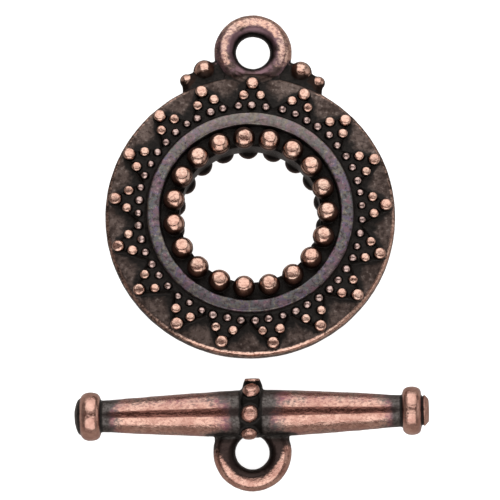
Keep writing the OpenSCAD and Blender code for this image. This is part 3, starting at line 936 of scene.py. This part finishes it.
def mark_bar_finish(mesh):
    """Marks what the polishing reached on the bar, the painted light and shade on its loop and end caps, its
    black hollows and the painted dark reflection along its top.
    """
    x, y, z = coordinates(mesh).T
    along = np.abs(x)
    out = np.hypot(y - COLLAR_OFF, z)
    height = np.abs(z)
    from_loop = np.hypot(x, y - BAR_LOOP_Y)

    # Bar and end rings
    on_body = rise(along, COLLAR_HALF - 0.4, COLLAR_HALF + 2.6) * rise(along, NECK_X + 0.7, NECK_X - 1.4)
    near_web = rise(along, BAR_WEB_HALF + 0.9, BAR_WEB_HALF + 0.3)
    on_body *= 1 - near_web * rise(y, -1.1, -1.45)
    on_body *= 0.82 - 0.28 * rise(y, 0.3, 1.1) - 0.25 * rise(y, -0.85, -1.25)
    on_knobs = rise(along, KNOB_X - KNOB_HALF - 0.02, KNOB_X - KNOB_HALF + 0.1)

    # Collar and stub, apart from the loop's own skin
    loop_skin = (y < -BAR_MID_R) & (along < BAR_WEB_HALF + 0.4)
    clear_of_beads = (along > COLLAR_HALF + 0.35) | (out > COLLAR_BEAD_CIRCLE_R + COLLAR_BEAD_R + 0.02)
    loop_skin &= clear_of_beads | (height < BAR_WEB_TOP + 0.02)
    under_collar = loop_skin & (y < -LOOP_R - 0.5)
    in_collar = rise(along, COLLAR_HALF + 0.14, COLLAR_HALF + 0.04) * ~under_collar
    on_collar = rise(out, COLLAR_R + 0.06, COLLAR_R + 0.22)
    on_stub = rise(y, 1.5, 1.7) * rise(height, 0.75, 0.6)
    on_collar *= 1 - on_stub * (1 - 0.95 * rise(y, STUB_OUT - 0.2, STUB_OUT - 0.06))
    rub = np.maximum(on_body, 1.6 * on_knobs) * (1 - in_collar) + on_collar * in_collar
    # End caps: the left one painted dark as painted shade, the right one bright as painted highlight
    caps_painted_light_and_shade = np.where(x < 0, 0.15, 1.3)
    rub = np.where(along > CAP_X - 0.08, caps_painted_light_and_shade, rub)

    # Loop, rubbed on its outer side, most at its lower end, and painted brighter on its right as painted
    # light
    painted_light_towards_right = rise(x, -LOOP_R, LOOP_R * 0.2)
    below = rise(y, BAR_LOOP_Y + 0.6, BAR_LOOP_Y - 1.3)
    rubbed_from = LOOP_R - 0.05 - 0.4 * below
    on_loop = rise(from_loop, rubbed_from, rubbed_from + 0.6) * np.minimum(
        0.28 + 0.4 * painted_light_towards_right + 0.7 * below, 1.0) * rise(y, -BAR_MID_R - 0.1, -BAR_MID_R - 0.9)
    rub = np.where(loop_skin, on_loop, rub)

    # Painted dark reflection along the top, then hollows, with painted shade on the left end cap
    turn = np.degrees(np.arctan2(y, height))
    streak = rise(np.abs(turn - PAINTED_REFLECTION_AT), PAINTED_REFLECTION_HALF + 3.5, PAINTED_REFLECTION_HALF - 3.5)
    in_loop = loop_skin * rise(from_loop, LOOP_R - 0.1, LOOP_R - 0.6) * (1 - 0.5 * below)
    under_edge = (near_web * rise(y, -1.15, -1.4)
                  * rise(y, -BAR_MID_R - 0.35, -BAR_MID_R - 0.15))
    # Painted shade on the left end cap
    left_cap_painted_shade = x < 0.05 - CAP_X
    hollow = np.maximum.reduce([in_collar, 0.6 * in_loop, 0.6 * under_edge, 0.5 * left_cap_painted_shade])
    nowhere = np.zeros(len(x))
    keep(mesh, rub=rub, row=nowhere, flat=nowhere, on_loop=loop_skin, hollow=hollow,
         streak=streak * rise(along, NECK_X + 0.7, NECK_X) * (1 - in_collar), bare=loop_skin * below)


def floor_paper():
    """Pale seamless paper that glows a little, so that shadows on it stay faint."""
    material = bpy.data.materials.new("pale_paper")
    material.use_nodes = True
    surface = material.node_tree.nodes["Principled BSDF"]
    surface.inputs["Base Color"].default_value = (0.5, 0.5, 0.5, 1)
    surface.inputs["Roughness"].default_value = 1.0
    surface.inputs["Specular IOR Level"].default_value = 0.0
    surface.inputs["Emission Color"].default_value = (1, 1, 1, 1)
    surface.inputs["Emission Strength"].default_value = 0.90
    return material


# The two castings

def cast(shapes, name, metal, dents_per_mm, mark_finish, node, place):
    """Fuses a casting's shapes, gives it its skin and finish, and lays it in the frame."""
    fused = fuse(shapes, name + "_parts")
    skin = grow(fused, cast_skin, Dent_Depth=0.05, Dents_per_mm=dents_per_mm,
                Grain_Depth=0.02, Grain_per_mm=4.0, Material=metal)
    mark_finish(skin)
    lay(skin, name + "_casting", "root", node, place)


ring_copper = antique_copper("antique_copper_ring", ring_film, bright=(0.87, 0.605, 0.487),
                             dull=(0.79, 0.49, 0.385), grain_depth=0.012)
bar_copper = antique_copper("antique_copper_bar", bar_film, bright=(0.78, 0.49, 0.395),
                            dull=(0.56, 0.31, 0.25), grain_depth=0.022)
bead_circle = bead_circle_tree()
cast_skin = cast_skin_tree()

ring_shapes = [lathe(disc_profile(), DISC_STEPS), star_plate()]
ring_shapes += bead_circles(bead_circle, ring_copper) + ring_loop()
cast(ring_shapes, "ring", ring_copper, 1.4, mark_ring_finish, "toggle_ring", ring_place())

bar_shapes = [lathe(bar_profile(), BAR_STEPS, along="X")]
bar_shapes += collar_parts(bead_circle, bar_copper) + bar_loop()
cast(bar_shapes, "bar", bar_copper, 1.2, mark_bar_finish, "toggle_bar", bar_place())


# Stage, light and camera

def backdrop():
    """Floor that curves up into a wall all round."""
    flat_r, bend_r, top = 0.9, 0.3, 0.9
    bend = [(flat_r + bend_r * math.sin(a), bend_r - bend_r * math.cos(a))
            for a in np.linspace(0, math.pi / 2, 12)]
    outline = [(0.0, 0.0)] + bend + [(flat_r + bend_r, top)]
    steps = 96
    angle = np.arange(steps) * FULL_TURN / steps
    points = [(0, 0, 0)]
    for r, z in outline[1:]:
        points += [(r * math.cos(a), r * math.sin(a), z) for a in angle]
    faces = [(0, 1 + i, 1 + (i + 1) % steps) for i in range(steps)]
    for k in range(len(outline) - 2):
        low, high = 1 + k * steps, 1 + (k + 1) * steps
        faces += [(low + i, high + i, high + (i + 1) % steps, low + (i + 1) % steps) for i in range(steps)]
    mesh = bpy.data.meshes.new("backdrop")
    mesh.from_pydata(points, [], faces)
    mesh.materials.append(floor_paper())
    for polygon in mesh.polygons:
        polygon.use_smooth = True
    made = bpy.data.objects.new("backdrop", mesh)
    bpy.context.scene.collection.objects.link(made)
    made.visible_glossy = False


def softbox(name, tilt, distance, width, height, glow, side=0.0):
    """Soft panel: tilt is its angle from straight above towards the back, side its angle to the right."""
    data = bpy.data.lights.new(name, "AREA")
    data.shape = "RECTANGLE"
    data.size, data.size_y = width, height
    data.energy = glow * math.pi * width * height
    made = bpy.data.objects.new(name, data)
    bpy.context.scene.collection.objects.link(made)
    turn = Matrix.Rotation(math.radians(-tilt), 4, "X") @ Matrix.Rotation(math.radians(side), 4, "Y")
    made.matrix_world = turn @ Matrix.Translation((0, 0, distance))
    made.visible_camera = False


def dark_card(tilt, distance, width, height):
    """Card between the two softboxes: the castings mirror it as the dark line along their tops."""
    material = bpy.data.materials.new("dark_card")
    material.use_nodes = True
    surface = material.node_tree.nodes["Principled BSDF"]
    surface.inputs["Base Color"].default_value = (0.0, 0.0, 0.0, 1)
    surface.inputs["Specular IOR Level"].default_value = 0.0
    surface.inputs["Emission Color"].default_value = (0.09, 0.055, 0.048, 1)
    surface.inputs["Emission Strength"].default_value = 1.0
    x, y = width / 2, height / 2
    mesh = bpy.data.meshes.new("dark_card")
    mesh.from_pydata([(-x, -y, 0), (x, -y, 0), (x, y, 0), (-x, y, 0)], [], [(0, 1, 2, 3)])
    mesh.materials.append(material)
    made = bpy.data.objects.new("dark_card", mesh)
    bpy.context.scene.collection.objects.link(made)
    made.matrix_world = Matrix.Rotation(math.radians(-tilt), 4, "X") @ Matrix.Translation((0, 0, distance))
    made.visible_camera = made.visible_shadow = made.visible_diffuse = False


def studio_air():
    """Dim air of the studio, paler below the horizon, where the castings mirror the paper."""
    world = bpy.data.worlds.new("studio")
    world.use_nodes = True
    tree = world.node_tree
    height = shader(tree, "SeparateXYZ", {0: shader(tree, "TexCoord").outputs["Generated"]}).outputs[2]
    air = blend_colours(tree, span(tree, height, 0.05, -0.15), (0.17, 0.15, 0.142), (0.40, 0.36, 0.34))
    tree.links.new(air, tree.nodes["Background"].inputs["Color"])
    bpy.context.scene.world = world


def camera():
    """Long lens at the photograph's angle."""
    right, down = (pixel - PICTURE_SIZE / 2 for pixel in ORIGIN_PIXEL)
    data = bpy.data.cameras.new("camera")
    data.sensor_width = 36.0
    data.lens = PIXELS_PER_MM * CAMERA_DISTANCE / MM * data.sensor_width / PICTURE_SIZE
    data.clip_start, data.clip_end = 0.01, 10
    made = bpy.data.objects.new("camera", data)
    bpy.context.scene.collection.objects.link(made)
    turn = Matrix.Rotation(math.pi / 2 - CAMERA_ELEVATION, 4, "X")
    shift = Vector((-right / PIXELS_PER_MM * MM, down / PIXELS_PER_MM * MM, CAMERA_DISTANCE))
    made.matrix_world = turn @ Matrix.Translation(shift)
    bpy.context.scene.camera = made


backdrop()
softbox("back_softbox", tilt=45, distance=0.40, width=0.56, height=0.60, glow=1.15)
softbox("front_softbox", tilt=-48, distance=0.42, width=0.56, height=0.48, glow=1.2)
softbox("right_fill", tilt=0, side=68, distance=0.45, width=0.30, height=0.50, glow=0.5)
dark_card(tilt=-5, distance=0.50, width=1.4, height=0.24)
studio_air()
bpy.context.scene.view_settings.view_transform = "Standard"
camera()
